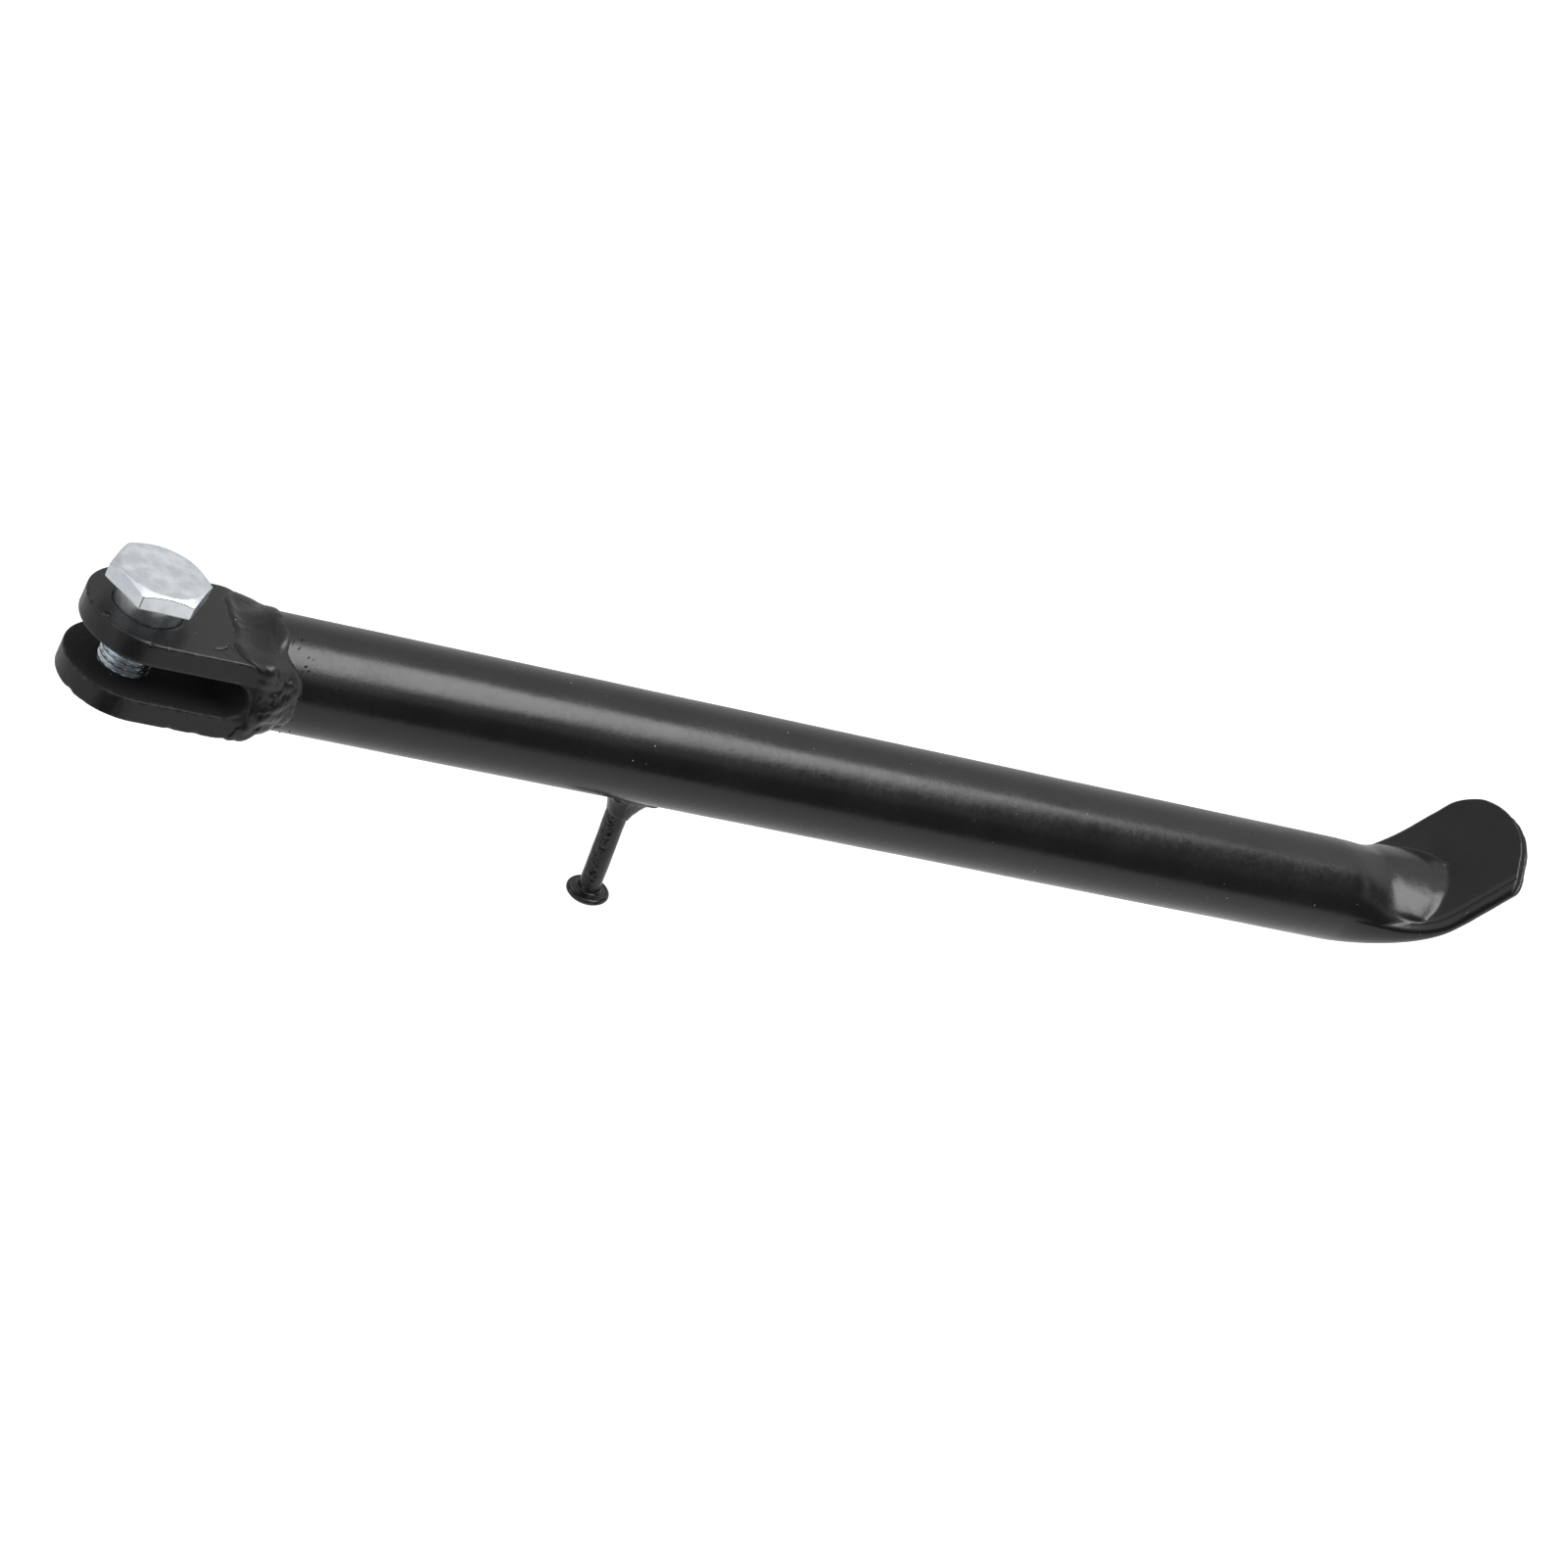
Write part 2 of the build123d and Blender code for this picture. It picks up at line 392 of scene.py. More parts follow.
def fork_grids():
    """Ears and fold as grids of (points, side weight, wear, faces)."""
    grids = []
    edge = strap_edge()
    for up in (1, -1):
        hole_r = UPPER_HOLE_R if up > 0 else LOWER_HOLE_R
        inner = ear_outline(EDGE_R)
        around = np.arctan2(inner[:, 1], inner[:, 0])
        hole = np.stack([np.cos(around), np.sin(around)], -1)
        rim = 0.35
        rows = []
        for depth, sense in ((0.0, 1), (STRAP_T, -1)):
            sheet = []
            for t in np.linspace(0, 1, 16):
                flat = hole * (hole_r + rim) * (1 - t) + inner * t
                sheet.append((flat, depth, 0.0, 0.0))
            rows.append(sheet if sense > 0 else sheet[::-1])
        bore = [
            (hole * (hole_r + rim * 0.35), STRAP_T - rim * 0.35, 0.0, 0.8),
            (hole * hole_r, STRAP_T - rim, 0.0, 0.3),
            (hole * hole_r, STRAP_T / 2, 0.0, 0.0),
            (hole * hole_r, rim, 0.0, 0.3),
            (hole * (hole_r + rim * 0.35), rim * 0.35, 0.0, 0.8),
            (hole * (hole_r + rim), 0.0, 0.0, 0.5),
        ]
        side = [(ear_outline(i), d, w, v) for i, d, w, v in edge]
        n = len(inner)
        for block, keep in (
            (rows[0], None),
            (side, off_seam),
            (rows[1], None),
            ([rows[1][-1]] + bore, None),
        ):
            flat = np.array([b[0] for b in block])
            depth = np.array([b[1] for b in block])[:, None]
            z = up * (FORK_HALF - depth) * np.ones(flat.shape[:2])
            points = np.concatenate([flat, z[..., None]], -1)
            weight = np.array([b[2] for b in block])[:, None] * np.ones(flat.shape[:2])
            wear = np.array([b[3] for b in block])[:, None] * np.ones(flat.shape[:2])
            grids.append((points, weight, wear, ring_faces(len(block), n, True, keep)))
    # the fold: one closed section swept half a turn
    inner_y = (EAR_R - EDGE_R) * np.linspace(-1, 1, SEAM)
    section = [(y, 0.0, 0.0, 0.0) for y in inner_y]
    section += [(EAR_R - i, d, w, v) for i, d, w, v in edge[1:]]
    section += [(y, STRAP_T, 0.0, 0.0) for y in inner_y[::-1][1:]]
    section += [(-(EAR_R - i), d, w, v) for i, d, w, v in edge[::-1][1:-1]]
    section = np.array(section)
    turn = np.linspace(0, math.pi, 72)[:, None]
    r = FORK_HALF - section[None, :, 1]
    points = np.stack(
        [
            FOLD_X + r * np.sin(turn),
            section[None, :, 0] * np.ones_like(turn),
            r * np.cos(turn),
        ],
        -1,
    )
    ones = np.ones(points.shape[:2])
    grids.append(
        (points, section[None, :, 2] * ones, section[None, :, 3] * ones, ring_faces(72, len(section)))
    )
    return grids


def fork_piece(material):
    grids, wears, inners = [], [], []
    for points, weight, wear, faces in fork_grids():
        inners.append((1 - ramp(np.abs(points[..., 2]), SLOT_R, SLOT_R + 0.25)).ravel())
        centre = np.stack(
            [
                np.clip(points[..., 0], EAR_X, None),
                np.zeros(points.shape[:2]),
                points[..., 2],
            ],
            -1,
        )
        out = points - centre
        out[..., 0] = np.where(points[..., 0] > EAR_X, 0, out[..., 0])
        out /= np.maximum(np.linalg.norm(out, axis=-1, keepdims=True), 1e-6)
        streaks = wobble(points, (0.9, 0.9, 9.0), 11, 2)
        lumps = wobble(points, 3.4, 12, 2)
        tip = ramp(-points[..., 0], -4.0, 2.0)
        amount = weight * (0.05 * tip * streaks + 0.03 * lumps)
        moved = points + out * np.minimum(amount, 0.0)[..., None]
        face_waves = (1 - weight) * 0.035 * wobble(points, 5.0, 14, 2)
        hole_clear = ramp(np.hypot(points[..., 0], points[..., 1]), 7.0, 9.0)
        moved[..., 2] += np.minimum(face_waves, 0.0) * np.sign(points[..., 2]) * hole_clear
        for place_at, radius, depth in FORK_NICKS:
            bite = dent(points, place_at, radius)
            moved -= out * (bite * depth)[..., None] * (weight > 0)[..., None]
            moved[..., 2] -= np.sign(points[..., 2]) * bite * depth * 0.8
            wear = np.maximum(wear, bite * 1.6)
        grids.append((moved, faces))
        wears.append(wear.ravel())
    attributes = [("wear", np.concatenate(wears)), ("inner", np.concatenate(inners))]
    obj = make_mesh("fork_strap", grids, attributes, merge=0.004)
    return place(obj, "leg", "fork", material)


# ---------------------------------------------------------------- weld between fork and leg
def box_radius(angle, half_y, half_z, power=9.0):
    """Polar radius of a rectangle with slightly rounded corners, angle from +Y towards +Z."""
    a = np.abs(np.cos(angle)) / half_y
    b = np.abs(np.sin(angle)) / half_z
    return (a**power + b**power) ** (-1 / power)


WELD_BLOBS = (
    # (x, angle round the leg in degrees, size, rise)
    (21.8, 143, 2.4, 1.15),
    (25.2, 176, 1.5, 0.45),
    (23.2, 190, 1.7, 0.5),
    (26.6, 205, 1.5, 0.5),
    (24.4, 226, 2.2, 0.6),
    (26.9, 158, 1.2, 0.30),
    (22.0, 214, 1.3, 0.4),
    (24.8, 242, 1.5, 0.5),
)
WELD_MIDDLE_X = 22.3
SLOT_END_X = 20.35  # the bead stays past this where the slot ends
WELD_AROUND_R = 11.5  # turns an angle round the bead into mm


def fork_weld_piece(material):
    columns, rows = 300, 96
    angle = np.arange(columns) / columns * 2 * math.pi
    cos, sin = np.cos(angle), np.sin(angle)
    near = ramp(-cos, 0.2, 0.8)
    top = ramp(sin, 0.35, 0.85)
    corner = hill(np.abs(sin), 0.56, 0.16)
    edge_noise = wobble(np.stack([cos * 3, sin * 3, cos * 0], -1), 0.8, 21, 3)
    # left boundary: on the ears' faces near the fold, past the slot's end at the sides
    left = 20.6 - 4.5 * ramp(np.abs(sin), 0.42, 0.75) + 0.35 * edge_noise
    left = left - 1.2 * ramp(np.abs(sin), 0.30, 0.40) * near
    left = np.where(np.abs(sin) < 0.31, np.maximum(left, SLOT_END_X), left)
    # right boundary: shortest on top, longest low on the near side
    right = 25.4 + 4.2 * ramp(-cos, 0.55, 0.97) + 0.2 * top + 0.4 * ramp(-sin, 0.0, 0.9)
    right = right + 0.55 * wobble(np.stack([cos * 3, sin * 3, cos * 0 + 7], -1), 0.9, 22, 3)
    t = np.linspace(0, 1, rows)[:, None]
    x = left + (right - left) * t
    from_fork = box_radius(angle, EAR_R, FORK_HALF)[None, :]
    # the tube's circle is LEG_Z above the fork's middle
    tube = (LEG_Z * sin + np.sqrt(TUBE_R**2 - (LEG_Z * cos) ** 2))[None, :]
    blend_x = (x - 16.2) / 9.0
    climb = np.where(tube > from_fork, np.clip(blend_x, 0, 1) ** 1.5, smooth((x - 19.0) / 9.0))
    base = from_fork + (tube - from_fork) * climb
    body = np.clip(np.sin(math.pi * t), 0, 1) ** 0.45
    height = 0.55 + 0.60 * near + 0.15 * corner - 0.25 * top - 0.75 * ramp(-sin, 0.45, 0.80)
    at = np.stack([x, np.broadcast_to(cos, x.shape) * 11, np.broadcast_to(sin, x.shape) * 11], -1)
    ripples = np.sin((x * 1.1 + 1.2 * wobble(at, 5.0, 23, 2) + angle[None, :] * 11.0) * 1.55)
    rough = 0.18 + 0.70 * near * (1 - 0.6 * top)
    lumps = (
        0.70 * wobble(at, 4.4, 24, 2)
        + 0.26 * wobble(at, 1.7, 25, 2)
        + 0.05 * ripples * near
    )
    pits = ramp(wobble(at, 2.1, 26, 2), 0.25, 0.7) * near
    bead = body * (height + rough * lumps - 0.28 * pits) - 0.32 * (1 - body)
    # on top: a rounded lip along the fork's face, then a shallow valley before the tube's end
    lip = hill(t, 0.10, 0.09) * 0.35 - hill(t, 0.42, 0.25) * 0.55 + hill(t, 0.86, 0.10) * 0.25
    bead = bead + top * lip
    radius = base + bead
    # blobs and a ridge that catch the light on the near side
    for blob_x, blob_angle, size, rise in WELD_BLOBS:
        a = math.radians(blob_angle)
        turn = np.abs((angle[None, :] - a + math.pi) % (2 * math.pi) - math.pi)
        d = np.hypot(x - blob_x, WELD_AROUND_R * turn)
        radius = radius + rise * np.exp(-((d / size) ** 2)) * body
    points = np.stack([x, radius * cos, radius * sin], -1)
    # the ends dive into the steel, where they can't be seen
    inner_x = left * 0.35 + WELD_MIDDLE_X * 0.65
    inner_r = from_fork[0] * 0.55
    start = [
        np.stack([np.full(columns, WELD_MIDDLE_X), 0.02 * cos, 0.02 * sin], -1),
        np.stack([inner_x, inner_r * cos, inner_r * sin], -1),
        np.stack([left + 0.5, (from_fork[0] - 1.3) * cos, (from_fork[0] - 1.3) * sin], -1),
    ]
    end = [
        np.stack([right + 0.2, (tube[0] - 0.7) * cos, (tube[0] - 0.7) * sin], -1),
        np.stack([right - 1.0, (tube[0] - 1.3) * cos, (tube[0] - 1.3) * sin], -1),
        np.stack([np.full(columns, 24.5), 0.02 * cos, 0.02 * sin], -1),
    ]
    points = np.concatenate([start, points, end])
    total = len(points)
    faces = ring_faces(total, columns)
    grids = [(points, faces)]
    wear = [np.zeros(total * columns)]
    drops = [drop_on_tube(*spot) for spot in spatter_spots()]
    up = np.array([0, 0, 1.0])
    drops += [spatter_ball(np.array([x, y, FORK_HALF]), up, size) for x, y, size in ear_crumbs()]
    for ball, ball_faces in drops:
        grids.append((ball, ball_faces))
        wear.append(np.full(len(ball), 0.5))
    obj = make_mesh("fork_weld_bead", grids, [("wear", np.concatenate(wear))], merge=0.05)
    return place(obj, "leg", "fork_weld", material)


def spatter_spots():
    """Small drops of weld on the tube just past the bead: (x, angle round the leg, size)."""
    rng = np.random.default_rng(7)
    spots = []
    for _ in range(22):
        a = math.radians(rng.uniform(110, 235))
        reach = 28.6 if math.cos(a) < -0.6 else 26.4
        spots.append((reach + abs(rng.normal(0, 1.5)), a, rng.uniform(0.10, 0.24)))
    return spots


def ear_crumbs():
    """A curved trail of spatter on the upper ear's outer face, and loose drops: (x, y, size)."""
    rng = np.random.default_rng(9)
    at = np.linspace(0, 1, 22)
    stops = (0, 0.35, 0.7, 1)
    x = np.interp(at, stops, (10.9, 12.3, 13.5, 14.2))
    y = np.interp(at, stops, (-9.4, -8.9, -7.8, -6.6))
    size = 0.16 + 0.26 * np.sin(math.pi * at) + rng.uniform(-0.06, 0.06, len(at))
    trail = list(zip(x, y + rng.uniform(-0.10, 0.10, len(at)), size))
    return trail + [(14.6, -7.9, 0.22), (15.1, -8.4, 0.24), (15.5, -7.7, 0.18), (14.9, -9.0, 0.15)]


def drop_on_tube(x, angle, size):
    centre = np.array([x, TUBE_R * math.cos(angle), LEG_Z + TUBE_R * math.sin(angle)])
    return spatter_ball(centre, np.array([0, math.cos(angle), math.sin(angle)]), size)


def spatter_ball(centre, out, size):
    along = np.array([1.0, 0, 0])
    across = np.cross(out, along)
    n, rows = 10, 6
    points = []
    for lat in np.linspace(-0.5, math.pi / 2, rows):
        for lon in np.arange(n) / n * 2 * math.pi:
            flat = math.cos(lat) * (along * math.cos(lon) * 1.25 + across * math.sin(lon))
            points.append(centre + size * (flat + out * math.sin(lat) * 0.7))
    faces = ring_faces(rows, n) + cap_faces(0, n, True)
    return np.array(points), faces


# ---------------------------------------------------------------- spring stud and its weld
def stud_axis_point(length):
    return np.array([STUD_X + length * math.sin(STUD_LEAN), 0, LEG_Z - length * math.cos(STUD_LEAN)])


def stud_piece(material):
    columns = 96
    angle = np.arange(columns) / columns * 2 * math.pi
    head_top = STUD_LEN
    end = STUD_LEN + STUD_HEAD_T
    profile = [(0.02, 8.6), (STUD_R, 8.6)]
    profile += [(STUD_R, h) for h in np.linspace(9.0, head_top - 0.5, 90)]
    profile += [(STUD_R + 0.08, head_top - 0.25), (STUD_R + 0.3, head_top - 0.05)]
    profile += [(2.9, head_top + 0.05), (3.15, head_top + 0.02), (3.3, head_top + 0.14)]
    profile += [(3.5, head_top + 0.16), (3.75, head_top + 0.02)]
    for b in np.linspace(-80, 60, 10):
        a = math.radians(b)
        profile.append((STUD_HEAD_R - 0.72 + 0.72 * math.cos(a), head_top + 0.72 + 0.72 * math.sin(a)))
    for t in np.linspace(0.06, 1, 8):
        r = (STUD_HEAD_R - 0.36) * (1 - t) + 0.02
        profile.append((r, end - 0.86 + 0.86 * math.sqrt(1 - (1 - t) ** 2)))
    profile = np.array(profile)
    cos, sin = np.cos(angle), np.sin(angle)
    length = profile[:, 1][:, None] * np.ones(columns)
    local = np.stack([profile[:, 0][:, None] * cos, profile[:, 0][:, None] * sin, length], -1)
    shank = ramp(length, 9, 12) * (1 - ramp(length, head_top - 1.2, head_top - 0.2))
    # a rolled, slightly lumpy stripe down the side that faces the fork and the viewer
    stripe = hill((angle - math.radians(228) + math.pi) % (2 * math.pi) - math.pi, 0, 0.50)
    rough = wobble(local, (0.8, 0.8, 0.75), 31, 2)
    swell = wobble(local, (2.0, 2.0, 5.0), 32, 2)
    amount = shank * (0.26 * stripe * rough + 0.07 * swell - 0.04)
    rim_soft = ramp(length, head_top, head_top + 0.6) * 0.04 * wobble(local, 1.4, 33, 2)
    out = np.stack([cos, sin, cos * 0], -1)[None]
    local = local + out * (amount - np.abs(rim_soft))[..., None]
    side = Vector((math.cos(STUD_LEAN), 0, math.sin(STUD_LEAN)))
    down = Vector((math.sin(STUD_LEAN), 0, -math.cos(STUD_LEAN)))
    points = (
        np.array([STUD_X, 0, LEG_Z])
        + local[..., 0:1] * np.array(side)
        + local[..., 1:2] * np.array((0, 1.0, 0))
        + local[..., 2:3] * np.array(down)
    )
    wear = hill(length, head_top + 0.7, 0.5) * 0.6
    rows = len(profile)
    obj = make_mesh("spring_stud_post", [(points, ring_faces(rows, columns))], [("wear", wear)], merge=0.04)
    return place(obj, "leg", "spring_stud", material)


def stud_weld_piece(material):
    rows, columns = 150, 110
    foot = stud_axis_point(TUBE_R + 0.3)
    x = np.linspace(foot[0] - 16.0, foot[0] + 12.0, rows)[:, None]
    across = np.linspace(-7.0, 7.0, columns)[None, :]
    turn = across / TUBE_R
    x = x * np.ones_like(across)
    turn = turn * np.ones_like(x)
    flat = np.stack([x, turn * TUBE_R, x * 0], -1)
    dx, dy = x - foot[0], turn * TUBE_R
    wander = 0.7 * wobble(flat, 3.0, 41, 2)
    reach = np.where(dx < 0, 14.2, 10.2)
    wide = np.where(dy < 0, 4.6, 4.0)
    lens = 1 - (np.abs(dx) / reach) ** 1.6 - (np.abs(dy + 0.15 * wander) / wide) ** 1.9
    pad = 0.85 * np.clip(lens, -0.6, 1) ** 1.0
    # the fillet starts at the stud's skin, and reaches farther on the foot's side
    beside = np.hypot(dx, dy * 1.05)
    foot_side = np.clip(dx / np.maximum(beside, 0.1), 0, 1)
    spread = 0.85 + 1.25 * foot_side**2
    fillet = 4.6 * np.exp(-np.clip(beside - STUD_R * 0.97, 0, None) / spread)
    lumps = 0.34 * wobble(flat, 1.7, 42, 2) + 0.12 * wobble(flat, 0.8, 43, 2)
    lip = 0.5 * hill(dx, 7.0, 1.6) * hill(dy, -3.0, 0.8)
    inside = ramp(lens, -0.05, 0.25)
    height = pad + fillet * inside + (lumps + lip) * inside - 0.12 - 0.6 * (1 - ramp(lens, -0.35, 0.0))
    radius = TUBE_R + height
    lean = np.clip(height, 0, None) * math.tan(STUD_LEAN)
    skin = np.stack(
        [x + lean, radius * np.sin(turn), LEG_Z - radius * np.cos(turn)], -1
    )
    core = np.stack(
        [x, (TUBE_R - 1.2) * np.sin(turn), LEG_Z - (TUBE_R - 1.2) * np.cos(turn)], -1
    )
    skin_faces = ring_faces(rows, columns, closed=False)
    core_faces = [tuple(reversed(f)) for f in skin_faces]
    border = [(i, 0) for i in range(rows)] + [(rows - 1, j) for j in range(1, columns)]
    border += [(i, columns - 1) for i in range(rows - 2, -1, -1)]
    border += [(0, j) for j in range(columns - 2, 0, -1)]
    index = [i * columns + j for i, j in border]
    walls = np.concatenate([skin.reshape(-1, 3)[index], core.reshape(-1, 3)[index]])
    n = len(index)
    grids = [(skin, skin_faces), (core, core_faces), (walls, ring_faces(2, n))]
    total = 2 * rows * columns + 2 * n
    obj = make_mesh("stud_weld_bead", grids, [("wear", np.zeros(total))])
    return place(obj, "leg", "stud_weld", material)


# ---------------------------------------------------------------- bolt
def bolt_piece(material):
    columns = 240
    angle = np.arange(columns) / columns * 2 * math.pi
    cos, sin = np.cos(angle), np.sin(angle)
    # the hex outline has slightly rounded corners
    faces_at = HEX_TURN + math.pi / 6 + np.arange(6) * math.pi / 3
    reach = np.clip(np.cos(angle[:, None] - faces_at[None, :]), 0, None) / HEX_APOTHEM
    hexagon = (reach**70).sum(1) ** (-1 / 70)
    flat_r = 0.95 * HEX_APOTHEM
    slope = math.tan(math.radians(30))
    chamfer_low = HEAD_TOP - np.clip(hexagon - flat_r, 0, None) * slope
    ones = np.ones(columns)
    rows = []

    def add(radius, z):
        rows.append((radius * ones, z * ones))

    add(0.02, HEAD_TOP)
    for r in np.linspace(0.5, flat_r - 0.35, 16):
        add(r, HEAD_TOP)
    add(flat_r - 0.1, HEAD_TOP - 0.01)
    add(flat_r + 0.05, HEAD_TOP - 0.06)
    for t in np.linspace(0.15, 0.92, 7):
        rows.append((flat_r + (hexagon - flat_r) * t, HEAD_TOP - (hexagon - flat_r) * t * slope))
    rows.append((hexagon - 0.03, chamfer_low + 0.0))
    rows.append((hexagon, chamfer_low - 0.12))
    for t in np.linspace(0.1, 0.9, 9):
        rows.append((hexagon, (chamfer_low - 0.12) * (1 - t) + (HEAD_LOW + 0.25) * t))
    rows.append((hexagon, (HEAD_LOW + 0.2) * ones))
    rows.append((hexagon - 0.06, (HEAD_LOW + 0.05) * ones))
    rows.append((hexagon - 0.25, HEAD_LOW * ones))
    rows.append((hexagon * 0 + 7.3, HEAD_LOW * ones))
    add(SHOULDER_R + 0.25, HEAD_LOW)
    add(SHOULDER_R + 0.05, HEAD_LOW - 0.2)
    for z in np.linspace(HEAD_LOW - 0.4, THREAD_TOP + 0.4, 24):
        add(SHOULDER_R, z)
    add(SHOULDER_R - 0.12, THREAD_TOP + 0.08)
    add(SHOULDER_R - 0.4, THREAD_TOP)
    add(THREAD_R - 0.4, THREAD_TOP)
    # the thread: a helix cut into the shank, running out at each end
    steps = int((THREAD_TOP - THREAD_LOW) / THREAD_PITCH * 18)
    for z in np.linspace(THREAD_TOP - 0.02, THREAD_LOW + 0.02, steps):
        phase = (z / THREAD_PITCH + angle / (2 * math.pi)) % 1.0
        ridge = np.clip(1.42 - np.abs(phase - 0.5) * 2.7, 0, 1) ** 0.9
        fade = ramp(z, THREAD_LOW, THREAD_LOW + 1.3)
        start = 1 - ramp(z, THREAD_TOP - 0.6, THREAD_TOP)
        crest = THREAD_R - 0.9 * (1 - fade)
        depth = THREAD_DEPTH * (0.35 + 0.65 * start)
        rows.append((crest - depth * (1 - ridge), z * ones))
    add(THREAD_R - 1.3, THREAD_LOW)
    add(0.02, THREAD_LOW)
    radius = np.array([r[0] for r in rows])
    height = np.array([r[1] for r in rows])
    points = np.stack([radius * cos, radius * sin, height], -1)
    head = ramp(height, HEAD_LOW - 0.1, HEAD_LOW + 0.3)
    nicks = np.abs(wobble(points, 1.5, 51, 2)) * 0.03 + np.abs(wobble(points, 5.0, 52, 2)) * 0.05
    points[..., 2] -= head * nicks * ramp(height, HEAD_TOP - 1.2, HEAD_TOP - 0.2)
    wear = hill(radius - hexagon, 0, 0.25) * head * hill(height - chamfer_low, 0, 0.3)
    wear = np.maximum(wear, hill(radius, flat_r, 0.2) * ramp(height, HEAD_TOP - 0.3, HEAD_TOP - 0.1))
    # mask of the thread, which the zinc material paints lighter and bluer as a painted reflection
    thread = ramp(THREAD_TOP - height, -0.1, 0.1)
    obj = make_mesh(
        "bolt_zinc",
        [(points, ring_faces(len(rows), columns))],
        [("wear", wear), ("thread", thread)],
        merge=0.03,
        sharp=38,
    )
    return place(obj, "pivot", "pivot_bolt", material)


# ---------------------------------------------------------------- materials
class Nodes:
    """Short calls for building one material's node tree."""

    def __init__(self, name):
        self.material = bpy.data.materials.new(name)
        self.material.use_nodes = True
        self.tree = self.material.node_tree
        self.tree.nodes.clear()
        self.output = self.tree.nodes.new("ShaderNodeOutputMaterial")
        self.where = self.add("ShaderNodeTexCoord").outputs["Object"]

    def add(self, kind, inputs=(), **settings):
        node = self.tree.nodes.new(kind)
        for key, value in settings.items():
            setattr(node, key, value)
        for key, value in dict(inputs).items():
            self.put(node.inputs[key], value)
        return node

    def put(self, socket, value):
        if isinstance(value, bpy.types.NodeSocket):
            self.tree.links.new(value, socket)
        else:
            socket.default_value = value

    def noise(self, size, detail=3.0, rough=0.5, stretch=(1, 1, 1), distortion=0.0):
        """Noise whose features are about size mm; stretch makes them longer along an axis."""
        scale = [1 / s for s in stretch]
        moved = self.add("ShaderNodeMapping", {"Vector": self.where, "Scale": scale})
        found = self.add(
            "ShaderNodeTexNoise",
            {
                "Vector": moved.outputs[0],
                "Scale": 1 / (size * MM),
                "Detail": detail,
                "Roughness": rough,
                "Distortion": distortion,
            },
        )
        return found.outputs["Fac"]

    def math(self, operation, a, b=0.0, clamp=False):
        node = self.add("ShaderNodeMath", {0: a, 1: b}, operation=operation, use_clamp=clamp)
        return node.outputs[0]

    def remap(self, value, low, high, out_low=0.0, out_high=1.0, soft=True):
        node = self.add(
            "ShaderNodeMapRange",
            {"Value": value, "From Min": low, "From Max": high, "To Min": out_low, "To Max": out_high},
            interpolation_type="SMOOTHSTEP" if soft else "LINEAR",
        )
        return node.outputs[0]

    def blend(self, share, a, b):
        node = self.add("ShaderNodeMix", data_type="RGBA")
        self.put(node.inputs[0], share)
        self.put(node.inputs[6], a)
        self.put(node.inputs[7], b)
        return node.outputs[2]

    def attribute(self, name):
        return self.add("ShaderNodeAttribute", attribute_name=name).outputs["Fac"]

    def bump(self, height, distance, strength=1.0, normal=None):
        """height in 0..1 raised by distance mm."""
        inputs = {"Height": height, "Distance": distance * MM, "Strength": strength}
        if normal is not None:
            inputs["Normal"] = normal
        return self.add("ShaderNodeBump", inputs).outputs[0]

    def specks(self, cell, radius, share):
        """1 inside small dots: one dot of about radius mm in a share of cells of cell mm."""
        found = self.add(
            "ShaderNodeTexVoronoi",
            {"Vector": self.where, "Scale": 1 / (cell * MM), "Randomness": 1.0},
            feature="F1",
        )
        inside = self.remap(found.outputs["Distance"], radius / cell * 1.25, radius / cell * 0.75)
        pick = self.add("ShaderNodeSeparateColor", {"Color": found.outputs["Color"]})
        chosen = self.math("LESS_THAN", pick.outputs[0], share)
        return self.math("MULTIPLY", inside, chosen)


def grey(value, tint=(1.0, 1.0, 1.0)):
    return (value * tint[0], value * tint[1], value * tint[2], 1.0)


def black_paint(name, rough, grain, peel, dust, edge, body=0.0065, specular=0.40):
    """Sprayed black enamel: orange peel, cloudy gloss, dust in the paint, thin or rubbed edges."""
    n = Nodes(name)
    clouds = n.noise(14.0, 3, 0.55)
    fine = n.noise(1.1, 3, 0.6)
    colour = n.blend(clouds, grey(body * 0.75), grey(body * 1.35, (1.0, 0.985, 0.97)))
    worn = n.math("MULTIPLY", n.attribute("wear"), n.remap(n.noise(1.6, 3, 0.65), 0.42, 0.66), clamp=True)
    worn = n.math("MULTIPLY", worn, edge, clamp=True)
    colour = n.blend(worn, colour, grey(0.07, (1.0, 0.98, 0.95)))
    dots = n.specks(4.2, 0.13, 0.30 * dust)
    motes = n.specks(1.9, 0.075, 0.16 * dust)
    dusty = n.math("MAXIMUM", dots, motes)
    colour = n.blend(n.math("MULTIPLY", dusty, 0.8), colour, grey(0.42))
    gloss = n.remap(clouds, 0.3, 0.7, rough * 0.86, rough * 1.16)
    gloss = n.math("ADD", gloss, n.remap(fine, 0.3, 0.7, -0.025, 0.035))
    gloss = n.math("ADD", gloss, n.math("MULTIPLY", dusty, 0.3), clamp=True)
    # the paint lies thin and matt where the spray can't reach
    gloss = n.math("ADD", gloss, n.math("MULTIPLY", n.attribute("inner"), 0.5), clamp=True)
    long_waves = n.noise(2.6, 2, 0.5)
    normal = n.bump(long_waves, peel * 2.0)
    normal = n.bump(n.noise(0.62, 3, 0.6), peel, 1.0, normal)
    normal = n.bump(n.noise(0.28, 2, 0.6), grain, 1.0, normal)
    normal = n.bump(dusty, 0.03, 1.0, normal)
    shader = n.add(
        "ShaderNodeBsdfPrincipled",
        {
            "Base Color": colour,
            "Roughness": gloss,
            "IOR": 1.5,
            "Specular IOR Level": specular,
            "Normal": normal,
        },
    )
    n.put(n.output.inputs["Surface"], shader.outputs[0])
    return n.material


